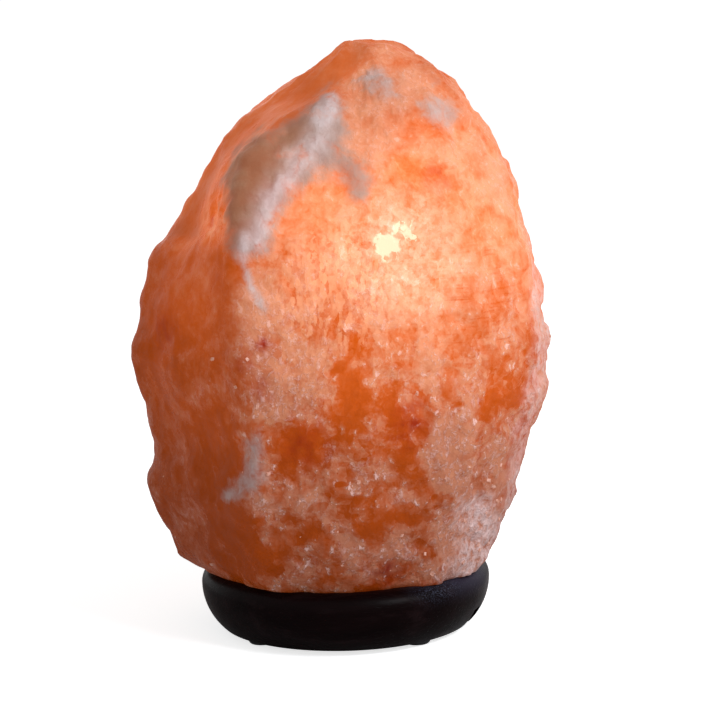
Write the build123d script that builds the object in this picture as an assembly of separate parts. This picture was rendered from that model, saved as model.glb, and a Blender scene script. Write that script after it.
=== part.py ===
from build123d import *
import os
from math import ceil, exp, sin, sqrt

# A salt crystal lamp: a hewn crystal of rock salt on a turned wooden base, lit from inside by a
# candle bulb. The bulb's holder clips into the base from underneath and pulls out to change the bulb.
# Millimetres. Z is the axis of the base, +Z is up, and z = 0 is the table.

# How far a cut runs past the faces that it opens
cut_margin = 1.0

# Feet, stuck under the base
foot_height = 2.0
foot_radius = 5.0
foot_circle_radius = 41.0
foot_count = 4
foot_first_angle = 39.5

# Turned wooden base, heights counted from its underside
base_radius = 55.0
base_height = 22.0
base_widest_height = 16.0
base_underside_radius = 47.9
base_bore_radius = 21.0
recess_radius = 30.0
recess_depth = 9.0
channel_width = 8.0
channel_depth = 7.0
channel_angle = -20.0

# Salt crystal, heights counted from its sawn foot
crystal_height = 198.0
crystal_half_width = 80.5
crystal_half_depth = 66.0
chip_depth = 1.6
cavity_radius = 27.0
cavity_depth = 128.0

# Stations of the crystal, from its foot to its top. Each has its height as a share of the crystal's,
# its reach to the left, right, front and back as shares of the half width and half depth, and where
# the long front ridge stands across and forward as shares of that station's own half sizes.
STATIONS = [
    (0.000, 0.71, 0.67, 0.74, 0.76, -0.44, 0.90),
    (0.020, 0.80, 0.71, 0.78, 0.80, -0.44, 0.91),
    (0.080, 0.86, 0.76, 0.86, 0.88, -0.43, 0.92),
    (0.170, 0.93, 0.85, 0.94, 0.95, -0.43, 0.93),
    (0.240, 0.90, 0.90, 0.96, 0.97, -0.42, 0.94),
    (0.330, 0.94, 0.97, 1.00, 1.00, -0.43, 0.95),
    (0.430, 0.98, 1.00, 1.00, 0.98, -0.45, 0.96),
    (0.520, 0.93, 0.97, 0.96, 0.94, -0.49, 0.96),
    (0.610, 0.86, 0.93, 0.90, 0.86, -0.56, 0.94),
    (0.680, 0.74, 0.87, 0.83, 0.77, -0.64, 0.91),
    (0.750, 0.64, 0.82, 0.74, 0.68, -0.71, 0.86),
    (0.810, 0.55, 0.75, 0.64, 0.58, -0.74, 0.80),
    (0.865, 0.42, 0.67, 0.52, 0.47, -0.70, 0.76),
    (0.915, 0.24, 0.58, 0.38, 0.34, -0.58, 0.76),
    (0.960, 0.07, 0.43, 0.22, 0.20, -0.42, 0.80),
    (1.000, -0.05, 0.25, 0.07, 0.08, -0.30, 0.80),
]

# Corners of a level section after the ridge, going round to the right, as shares of its half sizes
PLAN_CORNERS = [
    (0.12, -0.98),
    (0.62, -0.80),
    (0.91, -0.44),
    (1.00, 0.06),
    (0.94, 0.40),
    (0.74, 0.68),
    (0.36, 0.94),
    (-0.15, 1.00),
    (-0.62, 0.80),
    (-0.93, 0.38),
    (-1.00, -0.06),
]

# Lumps and hollows of the crystal, left by the hammer and by the salt's own breaks. Each has the
# place of its middle near the surface, its reach, and how far it stands out, or in where negative.
LUMPS = [
    (-33, -45, 168, 16, 2.4),
    (-16, -35, 188, 13, 2.4),
    (-52, -22, 160, 15, -2.6),
    (-36, -22, 186, 13, -2.6),
    (-12, -18, 205, 13, -2.2),
    (-30, -58, 140, 10, 1.6),
    (8, -50, 172, 16, -1.6),
    (30, -48, 182, 14, 1.4),
    (21, -53, 153, 12, -1.5),
    (52, -44, 140, 18, 1.6),
    (-5, -60, 128, 14, 1.4),
    (38, -56, 112, 16, -1.8),
    (-50, -42, 120, 16, -1.4),
    (-58, -30, 92, 14, 1.6),
    (-14, -62, 98, 15, -1.6),
    (12, -62, 84, 14, 1.8),
    (42, -52, 82, 14, 1.2),
    (-36, -55, 64, 11, 2.0),
    (-10, -58, 60, 14, -1.6),
    (20, -52, 52, 15, 1.4),
    (48, -38, 50, 14, -1.6),
    (-48, -36, 45, 13, -1.6),
    (2, -50, 38, 12, 1.2),
    (66, 20, 150, 18, -2.0),
    (72, 28, 105, 20, 1.8),
    (60, 30, 60, 18, -2.2),
    (35, 45, 165, 18, 1.8),
    (20, 60, 125, 20, -2.2),
    (-15, 62, 95, 20, 2.0),
    (25, 58, 70, 20, 1.6),
    (-30, 45, 150, 20, -1.8),
    (-55, 35, 110, 20, 1.8),
    (-50, 35, 60, 18, -2.0),
    (-5, 52, 45, 16, -1.6),
    (10, 25, 200, 16, 1.6),
    (-65, 5, 75, 16, -1.4),
]
lump_axis_x = 8.0
lump_foot_fade = 12.0

# Screws that hold the crystal to the base, and their plugs in the salt
fixing_count = 3
fixing_first_angle = -5.5
fixing_circle_radius = 39.0
fixing_radius = 2.0
fixing_length = 38.0
fixing_point_length = 4.0
fixing_head_radius = 3.9
fixing_head_height = 2.8
fixing_head_sink = 8.0
fixing_slot_width = 1.0
plug_radius = 4.0
plug_length = 28.0
plug_hole_spare = 2.0
screw_hole_clearance = 0.3
screw_hole_spare = 0.5
plug_clearance = 0.05

# Plate and spring clips that hold the lamp holder in the base
seat_gap = 0.2
plate_clearance = 2.0
plate_thickness = 1.2
plate_wire_hole_radius = 6.5
clip_count = 3
clip_first_angle = 30.0
clip_width = 6.0
clip_thickness = 0.5
clip_running_clearance = 0.06
clip_shell_gap = 0.3
clip_bow = 1.6
clip_lip = 0.8
clip_height = 17.0
clip_rivet_radius = 0.9
clip_rivet_head_radius = 1.4
clip_rivet_head_height = 0.6

# Lamp holder: cap, shell, contact insert and contacts
shell_radius = 15.0
shell_wall = 2.0
shell_height = 45.0
shell_rim_round = 0.9
shell_seat_height = 11.2
shell_seat_thickness = 1.5
shell_seat_width = 1.0
boss_radius = 3.6
boss_height = 8.5
cap_radius = 14.0
cap_height = 7.0
cap_hollow_radius = 6.5
cap_floor = 1.0
cord_hole_radius = 2.6
cap_screw_circle_radius = 9.5
cap_screw_radius = 1.45
cap_screw_length = 13.0
cap_screw_head_radius = 2.5
cap_screw_head_height = 1.5
insert_clearance = 0.1
insert_height = 30.0
insert_floor = 6.0
liner_inner_radius = 7.1
liner_wall = 0.5
liner_height = 22.0
liner_flange_radius = 4.4
contact_thickness = 0.4
contact_width = 5.0
contact_rivet_offset = 5.6
contact_rivet_radius = 0.9
terminal_offset = 9.2
terminal_radius = 1.4
terminal_length = 7.0
terminal_head_radius = 2.1
terminal_head_height = 1.3
contact_gap = 0.2
leaf_height = 1.5

# Screw thread shared by the bulb and the liner
thread_pitch = 2.822
thread_depth = 0.8
thread_root_width = 1.7
thread_crest_width = 0.7
thread_clearance = 0.2
liner_thread_turns = 5.5
cap_thread_turns = 4.0
unscrew_turns = 5

# Bulb, heights counted from its contact tip
bulb_length = 100.0
bulb_radius = 17.5
bulb_widest_height = 54.0
glass_wall = 0.8
neck_depth = 5.0
neck_rise = 1.0
tip_radius = 2.4
tip_height = 1.5
insulator_height = 3.5
cap_wall = 0.4
bulb_cap_height = 22.0
stem_radius = 1.8
stem_flare_height = 1.0
stem_height = 22.0
lead_radius = 0.3
lead_spacing = 1.0
lead_straight = 2.5
filament_span = 8.5
filament_height = 62.0
filament_rise = 5.0
filament_radius = 0.4
wire_clearance = 0.05

# Heights above the table that the pieces share
base_bottom = foot_height
base_top = base_bottom + base_height
recess_ceiling = base_bottom + recess_depth
plate_top = recess_ceiling - seat_gap
plate_bottom = plate_top - plate_thickness
cap_bottom = plate_bottom - cap_height
cord_height = (cap_bottom + cap_floor + plate_bottom) / 2
shell_seat = plate_top + shell_seat_height
insert_top = shell_seat + insert_height
liner_bottom = shell_seat + insert_floor
contact_top = liner_bottom + leaf_height
bulb_bottom = contact_top + contact_gap
bulb_cap_bottom = bulb_bottom + tip_height + insulator_height
bulb_cap_top = bulb_cap_bottom + bulb_cap_height
neck_bottom = bulb_cap_top - neck_depth
bulb_top = bulb_bottom + bulb_length

# Radii that follow from the ones above
plate_radius = recess_radius - plate_clearance
shell_bore_radius = shell_radius - shell_wall
insert_radius = shell_bore_radius - insert_clearance
liner_radius = liner_inner_radius + liner_wall
cap_core_radius = liner_inner_radius - thread_depth - thread_clearance


def cylinder(radius, bottom, top):
    """A solid cylinder on Z between two heights."""
    return Pos(0, 0, bottom) * Cylinder(
        radius, top - bottom, align=(Align.CENTER, Align.CENTER, Align.MIN)
    )


def block(x, y, z):
    """A solid box from its lowest and highest value along each axis."""
    corner = Pos(x[0], y[0], z[0])
    return corner * Box(x[1] - x[0], y[1] - y[0], z[1] - z[0], align=(Align.MIN,) * 3)


def at(radius, angle):
    """The place at a radius from Z and an angle about it, turned to face outwards."""
    return Rot(0, 0, angle) * Pos(radius, 0, 0)


def around(shape, count, radius, first_angle=0.0):
    """Copies of a shape, evenly spaced on a circle about Z."""
    return [at(radius, first_angle + 360 * i / count) * shape for i in range(count)]


def turned(*outline):
    """A body turned about Z from the lines of its half profile in X and Z."""
    edges = [edge for line in outline for edge in line.edges()]
    return revolve(Plane.XZ * make_face(edges), Axis.Z)


def outline(*points):
    """A closed half profile with straight sides."""
    return Polyline(*points, close=True)


def profile_bar(points, thickness, width):
    """A flat strip of metal bent in the XZ plane along a line of points, as wide as width in Y."""
    path = Polyline(*points)
    strip = trace(Plane.XY * path, thickness)
    return extrude(Plane.XZ * strip, width / 2, both=True)


def round_head_screw(radius, length, point_length, head_radius, head_height):
    """A screw with its head's underside at z = 0, its point up and a cross slot in its head."""
    shank = turned(
        outline(
            (0, -head_height),
            (head_radius * 0.7, -head_height),
            (head_radius, -head_height * 0.5),
            (head_radius, 0),
            (radius, 0),
            (radius, length - point_length),
            (radius * 0.25, length),
            (0, length),
        )
    )
    slot_length = head_radius * 1.2
    slot_depth = head_height * 0.5
    width = fixing_slot_width * head_radius / fixing_head_radius
    floor = -head_height + slot_depth
    for angle in (0, 90):
        cut = block((-slot_length / 2, slot_length / 2), (-width / 2, width / 2), (-head_height, floor))
        shank -= Rot(0, 0, angle) * cut
    return shank


def thread_rib(radius, bottom, turns, outward):
    """One helical rib of the screw thread, on the outside or the inside of a wall."""
    side = 1 if outward else -1
    root = radius - side * thread_depth / 5
    crest = radius + side * thread_depth
    section = Plane.XZ * make_face(
        outline(
            (root, -thread_root_width / 2),
            (crest, -thread_crest_width / 2),
            (crest, thread_crest_width / 2),
            (root, thread_root_width / 2),
        ).edges()
    )
    path = Helix(thread_pitch, turns * thread_pitch, radius)
    return Pos(0, 0, bottom) * sweep(section, path=path, is_frenet=True)


def rubber_feet():
    """Self-adhesive pads under the base, slightly domed at their rim."""
    rim = foot_height * 0.25
    pad = turned(
        outline(
            (0, 0),
            (foot_radius - rim, 0),
            (foot_radius, rim),
            (foot_radius, foot_height),
            (0, foot_height),
        )
    )
    return around(pad, foot_count, foot_circle_radius, foot_first_angle)


def wooden_base():
    """The turned base, with the bore for the lamp holder, its recess and the cord's channel."""
    shoulder = base_height - base_widest_height
    top_radius = base_radius - shoulder
    body = turned(
        Polyline((base_underside_radius, 0), (0, 0), (0, base_height), (top_radius, base_height)),
        TangentArc(
            (base_radius, base_widest_height), (top_radius, base_height), tangent=(0, 1)
        ),
        TangentArc(
            (base_radius, base_widest_height), (base_underside_radius, 0), tangent=(0, -1)
        ),
    )
    body = Pos(0, 0, base_bottom) * body
    body -= cylinder(base_bore_radius, base_bottom, base_top)
    body -= cylinder(recess_radius, base_bottom, recess_ceiling)
    channel = block(
        (base_bore_radius, base_radius + cut_margin),
        (-channel_width / 2, channel_width / 2),
        (base_bottom, base_bottom + channel_depth),
    )
    body -= Rot(0, 0, channel_angle) * channel
    seat = base_bottom + fixing_head_sink
    hole = cylinder(fixing_radius + screw_hole_clearance, base_bottom, base_top)
    hole += cylinder(fixing_head_radius + screw_hole_clearance, base_bottom, seat)
    for place in around(hole, fixing_count, fixing_circle_radius, fixing_first_angle):
        body -= place
    return [body]


def crystal_ring(number):
    """The corners of one station of the crystal, chipped a little off their even places."""
    height, left, right, front, back, ridge_x, ridge_y = STATIONS[number]
    middle_x = (right - left) / 2 * crystal_half_width
    middle_y = (back - front) / 2 * crystal_half_depth
    half_x = (right + left) / 2 * crystal_half_width
    half_y = (back + front) / 2 * crystal_half_depth
    facet = ((ridge_x - 1) / 2 - 0.03, -0.52)
    corners = [facet, (ridge_x, -ridge_y)] + PLAN_CORNERS
    last = len(STATIONS) - 1
    ring = []
    for place, (across, forward) in enumerate(corners):
        loose = 1 - max(abs(across), abs(forward)) ** 6 if 0 < number < last else 0
        chip = chip_depth * loose * (1 + sin(2.4 * place + 4.1 * number))
        lift = chip_depth * loose * sin(3.7 * place + 1.9 * number) * 2
        inward = 1 - chip / crystal_half_depth
        x = middle_x + across * half_x * inward
        y = middle_y + forward * half_y * inward
        ring.append(Vector(x, y, base_top + height * crystal_height + lift))
    return ring


def with_middles(places, closed):
    """The places with one more halfway between each two. A closed row also joins its ends."""
    after = places[1:] + places[:1] if closed else places[1:]
    found = []
    for here, there in zip(places, after):
        found += [here, (here + there) / 2]
    return found if closed else found + places[-1:]


def lumped(corner):
    """A corner of the crystal, moved out by the lumps near it and in by the hollows."""
    away = Vector(corner.X - lump_axis_x, corner.Y, (corner.Z - base_top) / 2 - crystal_height / 4)
    edge = max(abs(corner.X) / crystal_half_width, abs(corner.Y) / crystal_half_depth)
    free = max(0, 1 - edge**8) * min(1, (corner.Z - base_top) / lump_foot_fade)
    move = sum(
        height * exp(-((corner - Vector(x, y, z)).length / reach) ** 2)
        for x, y, z, reach, height in LUMPS
    )
    return corner + away.normalized() * move * free


def crystal_rings():
    """The rings of corners from the foot to the top, with the stations halfway between added."""
    columns = zip(*(with_middles(crystal_ring(n), True) for n in range(len(STATIONS))))
    rings = [list(ring) for ring in zip(*(with_middles(list(column), False) for column in columns))]
    return [rings[0]] + [[lumped(corner) for corner in ring] for ring in rings[1:-1]] + [rings[-1]]


def salt_crystal():
    """The crystal as hewn: flat facets between its rings, sawn off level at its foot."""
    rings = crystal_rings()
    corners = len(rings[0])
    facets = [
        Face(Wire.make_polygon(rings[0][::-1], close=True)),
        Face(Wire.make_polygon(rings[-1], close=True)),
    ]
    for number in range(len(rings) - 1):
        lower, upper = rings[number], rings[number + 1]
        for place in range(corners):
            after = (place + 1) % corners
            a, b, c, d = lower[place], lower[after], upper[after], upper[place]
            halves = ((a, b, c), (a, c, d)) if (number + place) % 2 else ((a, b, d), (b, c, d))
            facets += [Face(Wire.make_polygon(half, close=True)) for half in halves]
    rock = Solid(Shell(facets))
    rock -= cylinder(cavity_radius, base_top, base_top + cavity_depth)
    hole = cylinder(plug_radius + plug_clearance, base_top, base_top + plug_length + plug_hole_spare)
    for place in around(hole, fixing_count, fixing_circle_radius, fixing_first_angle):
        rock -= place
    return [rock]


def crystal_fixing_screws():
    """Wood screws from the underside of the base into the plugs in the salt."""
    screw = round_head_screw(
        fixing_radius, fixing_length, fixing_point_length, fixing_head_radius, fixing_head_height
    )
    screw = Pos(0, 0, base_bottom + fixing_head_sink) * screw
    return around(screw, fixing_count, fixing_circle_radius, fixing_first_angle)


def wall_plugs():
    """Nylon plugs in the salt, with a ring of barbs, flush with the crystal's sawn foot."""
    plug = cylinder(plug_radius, base_top, base_top + plug_length)
    groove = plug_length / 7
    for step in range(1, 6):
        middle = base_top + step * groove
        waist = cylinder(plug_radius + cut_margin, middle, middle + groove / 2)
        plug -= waist - cylinder(plug_radius * 0.85, middle, middle + groove / 2)
    plug -= cylinder(fixing_radius + plug_clearance, base_top, base_top + plug_length)
    return around(plug, fixing_count, fixing_circle_radius, fixing_first_angle)


def clip_crest():
    """How far out the middle of a clip's strip may bow before its edges meet the bore."""
    edge = sqrt(base_bore_radius**2 - (clip_width / 2) ** 2)
    return edge - clip_running_clearance - clip_thickness / 2


def clip_foot_middle():
    """How far from Z each clip is riveted down, midway along its flat foot."""
    return (shell_radius + clip_shell_gap + clip_crest() - clip_bow) / 2


def holder_plate():
    """The pressed steel plate that stops against the ceiling of the recess."""
    plate = cylinder(plate_radius, plate_bottom, plate_top)
    plate -= cylinder(plate_wire_hole_radius, plate_bottom, plate_top)
    screw_hole = cylinder(cap_screw_radius + screw_hole_clearance, plate_bottom, plate_top)
    for place in around(screw_hole, 2, cap_screw_circle_radius, 90):
        plate -= place
    rivet_hole = cylinder(clip_rivet_radius + wire_clearance, plate_bottom, plate_top)
    for place in around(rivet_hole, clip_count, clip_foot_middle(), clip_first_angle):
        plate -= place
    return [plate]


def spring_clips():
    """Bowed strips of spring steel that press on the wall of the bore."""
    middle = plate_top + clip_thickness / 2
    rest = clip_crest() - clip_bow
    points = [
        (shell_radius + clip_shell_gap, middle),
        (rest, middle),
        (clip_crest(), middle + clip_height * 0.38),
        (rest, middle + clip_height * 0.85),
        (rest + clip_lip, middle + clip_height),
    ]
    clip = profile_bar(points, clip_thickness, clip_width)
    hole = cylinder(clip_rivet_radius + wire_clearance, plate_top, plate_top + 2 * clip_thickness)
    clip -= Pos(clip_foot_middle(), 0, 0) * hole
    return around(clip, clip_count, 0, clip_first_angle)


def clip_rivets():
    """Rivets through the clips' feet and the plate."""
    foot_top = plate_top + clip_thickness
    rivet = cylinder(clip_rivet_radius, plate_bottom, foot_top)
    rivet += cylinder(clip_rivet_head_radius, foot_top, foot_top + clip_rivet_head_height)
    rivet += cylinder(clip_rivet_head_radius, plate_bottom - clip_rivet_head_height, plate_bottom)
    return around(rivet, clip_count, clip_foot_middle(), clip_first_angle)


def holder_cap():
    """The cover under the plate, with the cord's hole in its side and two sunk screw heads."""
    cap = cylinder(cap_radius, cap_bottom, plate_bottom)
    edge = cap.edges().filter_by(GeomType.CIRCLE).sort_by(Axis.Z)[0]
    cap = chamfer(edge, cap_floor * 0.6)
    cap -= cylinder(cap_hollow_radius, cap_bottom + cap_floor, plate_bottom)
    cord_hole = Rot(0, 90, 0) * cylinder(cord_hole_radius, 0, cap_radius + cut_margin)
    cap -= Rot(0, 0, channel_angle) * Pos(0, 0, cord_height) * cord_hole
    screw_hole = cylinder(cap_screw_radius + screw_hole_clearance, cap_bottom, plate_bottom)
    screw_hole += cylinder(
        cap_screw_head_radius + screw_hole_clearance, cap_bottom, cap_screw_seat()
    )
    for place in around(screw_hole, 2, cap_screw_circle_radius, 90):
        cap -= place
    return [cap]


def cap_screw_seat():
    """The height at which the cap screws' heads bear."""
    return cap_bottom + cap_screw_head_height + cap_floor


def holder_shell():
    """The outer sleeve, with a ledge for the insert and two bosses for the cap screws."""
    top = plate_top + shell_height
    shell = cylinder(shell_radius, plate_top, top) - cylinder(shell_bore_radius, plate_top, top)
    rim = shell.edges().filter_by(GeomType.CIRCLE).sort_by(Axis.Z)[-2:]
    shell = fillet(rim, min(shell_rim_round, shell_wall * 0.45))
    ledge = cylinder(shell_bore_radius, shell_seat - shell_seat_thickness, shell_seat)
    ledge -= cylinder(
        shell_bore_radius - shell_seat_width, shell_seat - shell_seat_thickness, shell_seat
    )
    shell += ledge
    boss = cylinder(boss_radius, plate_top, plate_top + boss_height)
    inside = cylinder(shell_bore_radius + shell_wall / 2, plate_top, plate_top + boss_height)
    hole = cylinder(
        cap_screw_radius + wire_clearance,
        plate_top,
        cap_screw_seat() + cap_screw_length + screw_hole_spare,
    )
    for place in around(boss, 2, cap_screw_circle_radius, 90):
        shell += place & inside
    for place in around(hole, 2, cap_screw_circle_radius, 90):
        shell -= place
    return [shell]


def cap_screws():
    """Two screws through the cap and the plate into the shell's bosses."""
    screw = round_head_screw(
        cap_screw_radius,
        cap_screw_length,
        cap_screw_radius,
        cap_screw_head_radius,
        cap_screw_head_height,
    )
    return around(Pos(0, 0, cap_screw_seat()) * screw, 2, cap_screw_circle_radius, 90)


def contact_insert():
    """The moulded core that keeps the liner and the contacts apart."""
    core = cylinder(insert_radius, shell_seat, insert_top)
    core -= cylinder(liner_radius + wire_clearance, liner_bottom, insert_top)
    rivet_hole = cylinder(contact_rivet_radius + wire_clearance, shell_seat, liner_bottom)
    screw_hole = cylinder(
        terminal_radius + wire_clearance,
        shell_seat,
        shell_seat + terminal_length + screw_hole_spare,
    )
    for angle in (0, 180):
        core -= at(contact_rivet_offset, angle) * rivet_hole
        core -= at(terminal_offset, angle) * screw_hole
    return [core]


def threaded_liner():
    """The brass screw shell that the bulb turns into, with a flange at its foot."""
    top = liner_bottom + liner_height
    liner = cylinder(liner_radius, liner_bottom, top)
    liner -= cylinder(liner_inner_radius, liner_bottom + liner_wall, top)
    liner -= block(
        (-liner_radius, liner_flange_radius),
        (-liner_flange_radius, liner_flange_radius),
        (liner_bottom, liner_bottom + liner_wall),
    ) & cylinder(liner_radius - liner_wall, liner_bottom, top)
    liner += thread_rib(liner_inner_radius, liner_thread_start(), liner_thread_turns, False)
    return [liner]


def liner_thread_start():
    """The height of the lower end of the liner's rib, clear of its flange."""
    return liner_bottom + liner_wall + thread_root_width


def contact_strip():
    """The strip under the insert that joins a terminal to its contact, with a rivet up through it."""
    inner = contact_rivet_offset - contact_width / 2
    outer = terminal_offset + terminal_head_radius
    strip = block(
        (inner, outer),
        (-contact_width / 2, contact_width / 2),
        (shell_seat - contact_thickness, shell_seat),
    )
    strip -= Pos(terminal_offset, 0, 0) * cylinder(
        terminal_radius + wire_clearance, shell_seat - contact_thickness, shell_seat
    )
    rivet = cylinder(contact_rivet_radius, shell_seat, liner_bottom)
    return strip + Pos(contact_rivet_offset, 0, 0) * rivet


def side_contact():
    """The contact that feeds the liner through its flange."""
    return [contact_strip()]


def centre_contact():
    """The contact whose sprung leaf stands under the tip of the bulb."""
    contact = Rot(0, 0, 180) * contact_strip()
    middle = liner_bottom + contact_thickness / 2
    crest = contact_top - contact_thickness / 2
    leaf = profile_bar(
        [
            (-contact_rivet_offset - contact_rivet_radius, middle),
            (-contact_rivet_offset + contact_rivet_radius, middle),
            (-tip_radius / 2, crest),
            (tip_radius / 2, crest),
            (tip_radius, crest - contact_thickness),
        ],
        contact_thickness,
        contact_width * 0.6,
    )
    return [contact + leaf]


def terminal_screws():
    """Two screws that clamp the cord's wires under the contact strips."""
    screw = round_head_screw(
        terminal_radius,
        terminal_length,
        terminal_radius,
        terminal_head_radius,
        terminal_head_height,
    )
    return around(Pos(0, 0, shell_seat - contact_thickness) * screw, 2, terminal_offset)


def bulb_contact_tip():
    """The solder button at the foot of the bulb."""
    dome = tip_radius * 0.55
    return [
        Pos(0, 0, bulb_bottom)
        * turned(
            outline(
                (0, 0),
                (dome, 0),
                (tip_radius, tip_height * 0.7),
                (tip_radius, tip_height),
                (0, tip_height),
            )
        )
    ]


def bulb_insulator():
    """The black glass cone between the tip and the cap."""
    bottom = bulb_bottom + tip_height
    return [
        turned(
            outline(
                (0, bottom),
                (tip_radius, bottom),
                (cap_core_radius - cap_wall, bulb_cap_bottom),
                (0, bulb_cap_bottom),
            )
        )
    ]


def bulb_cap():
    """The threaded metal cap, open at both ends, with a plain collar round the glass."""
    inner = cap_core_radius - cap_wall
    cap = cylinder(cap_core_radius, bulb_cap_bottom, bulb_cap_top)
    cap -= cylinder(inner, bulb_cap_bottom, bulb_cap_top)
    lowest = bulb_cap_bottom + thread_root_width
    whole_turns = ceil((lowest - liner_thread_start()) / thread_pitch - 0.5)
    start = liner_thread_start() + (whole_turns + 0.5) * thread_pitch
    cap += thread_rib(cap_core_radius, start, cap_thread_turns, True)
    return [cap]


def glass_profile(neck, neck_top, shrink):
    """One face of the candle-shaped glass, from the top of its neck to its closed tip."""
    widest = bulb_bottom + bulb_widest_height
    top = bulb_top - shrink
    return Spline(
        (neck, neck_top),
        (bulb_radius - shrink, widest),
        (bulb_radius * 0.55 - shrink, widest + (top - widest) * 0.68),
        (0, top),
        tangents=[(0, 1), (-1, 0)],
    )


def bulb_glass():
    """The blown candle envelope, closed at its tip and open at its neck."""
    neck_top = bulb_cap_top + neck_rise
    outer_neck = cap_core_radius - cap_wall - wire_clearance
    inner_neck = outer_neck - glass_wall
    outside = glass_profile(outer_neck, neck_top, 0)
    inside = glass_profile(inner_neck, neck_top, glass_wall)
    return [
        turned(
            outside,
            Polyline((0, bulb_top), (0, bulb_top - glass_wall)),
            inside,
            Polyline(
                (inner_neck, neck_top),
                (inner_neck, neck_bottom),
                (outer_neck, neck_bottom),
                (outer_neck, neck_top),
            ),
        )
    ]


def bulb_stem():
    """The glass stem that seals the neck and carries the lead wires."""
    flare = cap_core_radius - cap_wall - glass_wall - 2 * wire_clearance
    top = neck_bottom + stem_height
    stem = turned(
        outline(
            (0, neck_bottom),
            (flare, neck_bottom),
            (flare, neck_bottom + stem_flare_height),
            (stem_radius, neck_bottom + stem_height / 2),
            (stem_radius, top),
            (0, top),
        )
    )
    hole = cylinder(lead_radius + wire_clearance, neck_bottom, top)
    return [stem - Pos(lead_spacing, 0, 0) * hole - Pos(-lead_spacing, 0, 0) * hole]


def bulb_lead_wires():
    """Two wires through the stem that spread to the ends of the filament."""
    top = bulb_bottom + filament_height
    stem_top = neck_bottom + stem_height
    path = FilletPolyline(
        (lead_spacing, 0, bulb_cap_bottom),
        (lead_spacing, 0, stem_top + lead_straight),
        (filament_span, 0, top - lead_straight),
        (filament_span, 0, top),
        radius=2 * lead_radius,
    )
    section = Plane((lead_spacing, 0, bulb_cap_bottom)) * Circle(lead_radius)
    wire = sweep(section, path=path)
    return [wire, Rot(0, 0, 180) * wire]


def bulb_filament():
    """The coiled filament, drawn as the thin round bar that its turns fill."""
    height = bulb_bottom + filament_height + wire_clearance
    crown = height + filament_radius + filament_rise
    foot = height + filament_radius
    path = ThreePointArc(
        (-filament_span, 0, foot), (0, 0, crown), (filament_span, 0, foot)
    )
    section = Plane(origin=path @ 0, z_dir=path % 0) * Circle(filament_radius)
    return [sweep(section, path=path)]


PIECES = [
    rubber_feet,
    wooden_base,
    salt_crystal,
    crystal_fixing_screws,
    wall_plugs,
    holder_plate,
    spring_clips,
    clip_rivets,
    holder_cap,
    cap_screws,
    holder_shell,
    contact_insert,
    threaded_liner,
    side_contact,
    centre_contact,
    terminal_screws,
    bulb_contact_tip,
    bulb_insulator,
    bulb_cap,
    bulb_glass,
    bulb_stem,
    bulb_lead_wires,
    bulb_filament,
]

os.makedirs("parts", exist_ok=True)
for piece in PIECES:
    solids = [solid for shape in piece() for solid in shape.solids()]
    node = Compound(children=solids) if len(solids) > 1 else solids[0]
    export_step(node, f"parts/{piece.__name__}.step")
    print(piece.__name__, len(solids), round(sum(solid.volume for solid in solids)))

rise = unscrew_turns * thread_pitch
print("unscrewed bulb to cavity", round(base_top + cavity_depth - bulb_top - rise, 2))
print("bulb bottom and top", round(bulb_bottom, 2), round(bulb_top, 2))
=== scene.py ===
from math import cos, radians, sin

import bmesh
import bpy
import numpy as np
from mathutils import Matrix, Vector, noise
from mathutils.bvhtree import BVHTree
from mathutils.kdtree import KDTree


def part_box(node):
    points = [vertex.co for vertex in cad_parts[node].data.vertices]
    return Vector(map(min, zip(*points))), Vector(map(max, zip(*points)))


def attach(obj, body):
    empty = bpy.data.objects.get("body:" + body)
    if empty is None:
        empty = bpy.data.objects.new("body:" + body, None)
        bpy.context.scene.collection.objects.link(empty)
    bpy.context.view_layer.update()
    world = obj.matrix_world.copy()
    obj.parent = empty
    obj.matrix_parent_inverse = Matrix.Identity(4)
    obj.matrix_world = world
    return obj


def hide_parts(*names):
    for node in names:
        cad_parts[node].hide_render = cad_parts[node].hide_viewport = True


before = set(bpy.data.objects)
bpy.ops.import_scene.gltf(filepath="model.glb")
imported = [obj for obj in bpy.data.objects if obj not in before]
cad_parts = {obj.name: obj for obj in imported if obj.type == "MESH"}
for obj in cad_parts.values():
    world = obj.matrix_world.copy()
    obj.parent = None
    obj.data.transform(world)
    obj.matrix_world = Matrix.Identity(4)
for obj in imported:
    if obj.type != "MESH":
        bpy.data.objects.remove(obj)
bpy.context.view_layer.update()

# A salt crystal lamp: a hewn crystal of rock salt on a turned, dark wooden base, lit from inside.
# Blender's unit is the metre. +Z is up, and z = 0 is the table. MM turns millimetres into metres.
MM = 0.001


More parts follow.
